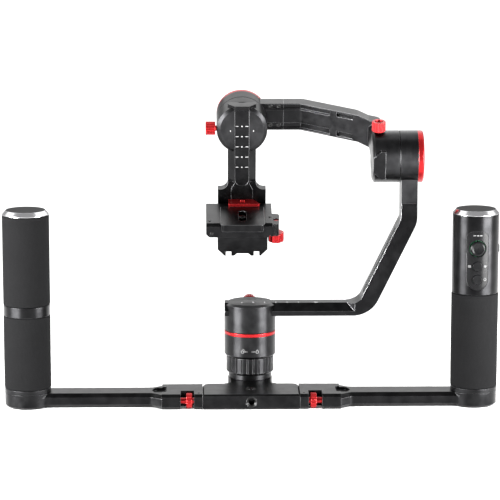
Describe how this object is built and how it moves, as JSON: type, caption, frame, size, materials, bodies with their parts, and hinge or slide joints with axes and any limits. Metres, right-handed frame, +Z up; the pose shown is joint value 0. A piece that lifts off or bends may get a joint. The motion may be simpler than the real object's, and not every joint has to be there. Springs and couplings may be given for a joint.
{
  "type": "gimbal stabilizer",
  "caption": "Two-handed three-axis camera gimbal: a centre plate with side arms and upright grips, and a motorised pan, roll and tilt column with a camera platform.",
  "frame": {"origin": "centre of the centre plate's bottom face, on the ground", "axes": "+X to the operator's right along the handle bar, +Y away from the operator, +Z up"},
  "size_m": [0.4373, 0.1864, 0.2625],
  "materials": {
    "black_metal": "satin black anodised",
    "gloss_black_metal": "gloss black",
    "dark_core": "dark anodised tube",
    "red_anodised": "satin red anodised",
    "foam": "fine closed-cell foam",
    "bright_cap": "polished slope round a dark disc",
    "black_steel": "blackened steel",
    "steel": "plain steel",
    "magnet": "nickel plated",
    "copper": "enamelled winding",
    "panel_plastic": "matt black",
    "cell_wrap": "shrink wrap",
    "circuit_board": "solder mask"
  },
  "bodies": {
    "base": {"centre_plate": "black_metal", "thread_inserts": "black_steel", "pan_base_housing": "black_metal", "pan_accent_ring": "red_anodised", "pan_coil": "copper", "pan_bearings": "steel"},
    "locking_ring": {"locking_ring": "black_metal"},
    "pan_rotor": {"pan_rotor": "black_metal", "pan_magnets": "magnet", "pan_shaft": "steel"},
    "pan_knob": {"pan_knob": "red_anodised"},
    "pan_arm": {"pan_arm": "black_metal", "roll_stator": "black_metal", "roll_end_cap": "red_anodised", "roll_coil": "copper", "roll_bearings": "steel"},
    "roll_rotor": {"roll_rotor": "black_metal", "roll_magnets": "magnet", "roll_shaft": "steel"},
    "roll_knob": {"roll_knob": "red_anodised"},
    "roll_arm": {"roll_arm": "black_metal", "roll_arm_bracket": "black_metal", "roll_arm_screws": "black_steel", "tilt_stator": "black_metal", "tilt_end_cap": "red_anodised", "tilt_coil": "copper", "tilt_bearings": "steel"},
    "tilt_rotor": {"tilt_rotor": "black_metal", "tilt_magnets": "magnet", "tilt_shaft": "steel"},
    "tilt_knob": {"tilt_knob": "red_anodised"},
    "tilt_arm": {"tilt_arm": "black_metal", "cradle_block": "black_metal", "clamp_base": "black_metal", "clamp_screws": "black_steel"},
    "camera_plate": {"camera_plate": "black_metal"},
    "camera_screw": {"camera_screw": "black_steel"},
    "plate_knob": {"plate_knob": "red_anodised"},
    "safety_latch": {"safety_latch": "red_anodised"},
    "left_arm": {"left_arm": "black_metal", "left_grip_core": "dark_core", "left_foam": "foam", "left_mid_ring": "gloss_black_metal", "left_battery": "cell_wrap"},
    "left_cap": {"left_cap": "bright_cap"},
    "left_thumbwheel": {"left_thumbwheel": "red_anodised"},
    "right_arm": {"right_arm": "black_metal", "right_grip_core": "dark_core", "right_foam": "foam", "right_battery": "cell_wrap", "right_head": "gloss_black_metal", "control_panel": "panel_plastic", "control_board": "circuit_board"},
    "right_cap": {"right_cap": "bright_cap"},
    "right_thumbwheel": {"right_thumbwheel": "red_anodised"},
    "joystick_yoke": {"joystick_yoke": "panel_plastic"},
    "joystick_cap": {"joystick_cap": "panel_plastic"},
    "mode_button": {"mode_button": "panel_plastic"},
    "power_button": {"power_button": "panel_plastic"},
    "side_button": {"side_button": "panel_plastic"}
  },
  "joints": [
    {"name": "locking_ring_turn", "type": "hinge", "parent": "base", "child": "locking_ring", "pos_m": [0, 0.05, 0.02], "axis": [0, 0, 1], "range_deg": [0, 90]},
    {"name": "pan_axis", "type": "hinge", "parent": "base", "child": "pan_rotor", "pos_m": [0, 0.05, 0.07], "axis": [0, 0, 1], "continuous": true},
    {"name": "pan_knob_turn", "type": "hinge", "parent": "pan_rotor", "child": "pan_knob", "pos_m": [0, 0.08, 0.0774], "axis": [0, 1, 0], "range_deg": [0, 540]},
    {"name": "pan_arm_slide", "type": "slide", "parent": "pan_rotor", "child": "pan_arm", "axis": [1, 0, 0], "range_m": [-0.06, 0]},
    {"name": "roll_axis", "type": "hinge", "parent": "pan_arm", "child": "roll_rotor", "pos_m": [0.12, 0.05, 0.2148], "axis": [1, 0, 0], "range_deg": [-170, 170]},
    {"name": "roll_knob_turn", "type": "hinge", "parent": "roll_rotor", "child": "roll_knob", "pos_m": [0.1146, 0.0437, 0.24208], "axis": [0, -0.225, 0.9744], "range_deg": [0, 540]},
    {"name": "roll_arm_slide", "type": "slide", "parent": "roll_rotor", "child": "roll_arm", "axis": [0, 0.9744, 0.225], "range_m": [-0.025, 0]},
    {"name": "tilt_axis", "type": "hinge", "parent": "roll_arm", "child": "tilt_rotor", "pos_m": [-0.006, 0.12795, 0.2328], "axis": [0, 0.9744, 0.225], "range_deg": [-60, 160]},
    {"name": "tilt_knob_turn", "type": "hinge", "parent": "tilt_rotor", "child": "tilt_knob", "pos_m": [-0.035, 0.12025, 0.23102], "axis": [-1, 0, 0], "range_deg": [0, 540]},
    {"name": "tilt_arm_slide", "type": "slide", "parent": "tilt_rotor", "child": "tilt_arm", "axis": [0, -0.225, 0.9744], "range_m": [0, 0.028]},
    {"name": "camera_plate_slide", "type": "slide", "parent": "tilt_arm", "child": "camera_plate", "axis": [0, 0.9744, 0.225], "range_m": [-0.025, 0]},
    {"name": "camera_screw_lift", "type": "slide", "parent": "camera_plate", "child": "camera_screw", "axis": [0, -0.225, 0.9744], "range_m": [0, 0.003]},
    {"name": "plate_knob_turn", "type": "hinge", "parent": "tilt_arm", "child": "plate_knob", "pos_m": [0.0247, 0.09348, 0.1376], "axis": [0, -0.225, 0.9744], "range_deg": [0, 360]},
    {"name": "safety_latch_slide", "type": "slide", "parent": "tilt_arm", "child": "safety_latch", "axis": [-1, 0, 0], "range_m": [0, 0.004], "stiffness_N_per_m": 150},
    {"name": "left_arm_pull", "type": "slide", "parent": "base", "child": "left_arm", "axis": [-1, 0, 0], "range_m": [0, 0.02]},
    {"name": "left_cap_turn", "type": "hinge", "parent": "left_arm", "child": "left_cap", "pos_m": [-0.1978, 0, 0.17], "axis": [0, 0, 1], "range_deg": [0, 720]},
    {"name": "left_thumbwheel_turn", "type": "hinge", "parent": "left_arm", "child": "left_thumbwheel", "pos_m": [-0.055, -0.015, 0.0069], "axis": [-1, 0, 0], "range_deg": [0, 720]},
    {"name": "right_arm_pull", "type": "slide", "parent": "base", "child": "right_arm", "axis": [1, 0, 0], "range_m": [0, 0.02]},
    {"name": "right_cap_turn", "type": "hinge", "parent": "right_arm", "child": "right_cap", "pos_m": [0.1978, 0, 0.17], "axis": [0, 0, 1], "range_deg": [0, 720]},
    {"name": "right_thumbwheel_turn", "type": "hinge", "parent": "right_arm", "child": "right_thumbwheel", "pos_m": [0.055, -0.015, 0.0069], "axis": [1, 0, 0], "range_deg": [0, 720]},
    {"name": "joystick_sideways", "type": "hinge", "parent": "right_arm", "child": "joystick_yoke", "pos_m": [0.1978, -0.0159, 0.1433], "axis": [0, 0, 1], "range_deg": [-9, 9], "stiffness_Nm_per_rad": 0.02},
    {"name": "joystick_up_down", "type": "hinge", "parent": "joystick_yoke", "child": "joystick_cap", "pos_m": [0.1978, -0.0159, 0.1433], "axis": [1, 0, 0], "range_deg": [-9, 9], "stiffness_Nm_per_rad": 0.02},
    {"name": "mode_button_press", "type": "slide", "parent": "right_arm", "child": "mode_button", "axis": [0, 1, 0], "range_m": [0, 0.0007], "stiffness_N_per_m": 400},
    {"name": "power_button_press", "type": "slide", "parent": "right_arm", "child": "power_button", "axis": [0, 1, 0], "range_m": [0, 0.0007], "stiffness_N_per_m": 400},
    {"name": "side_button_press", "type": "slide", "parent": "right_arm", "child": "side_button", "axis": [-1, 0, 0], "range_m": [0, 0.0006], "stiffness_N_per_m": 400}
  ]
}
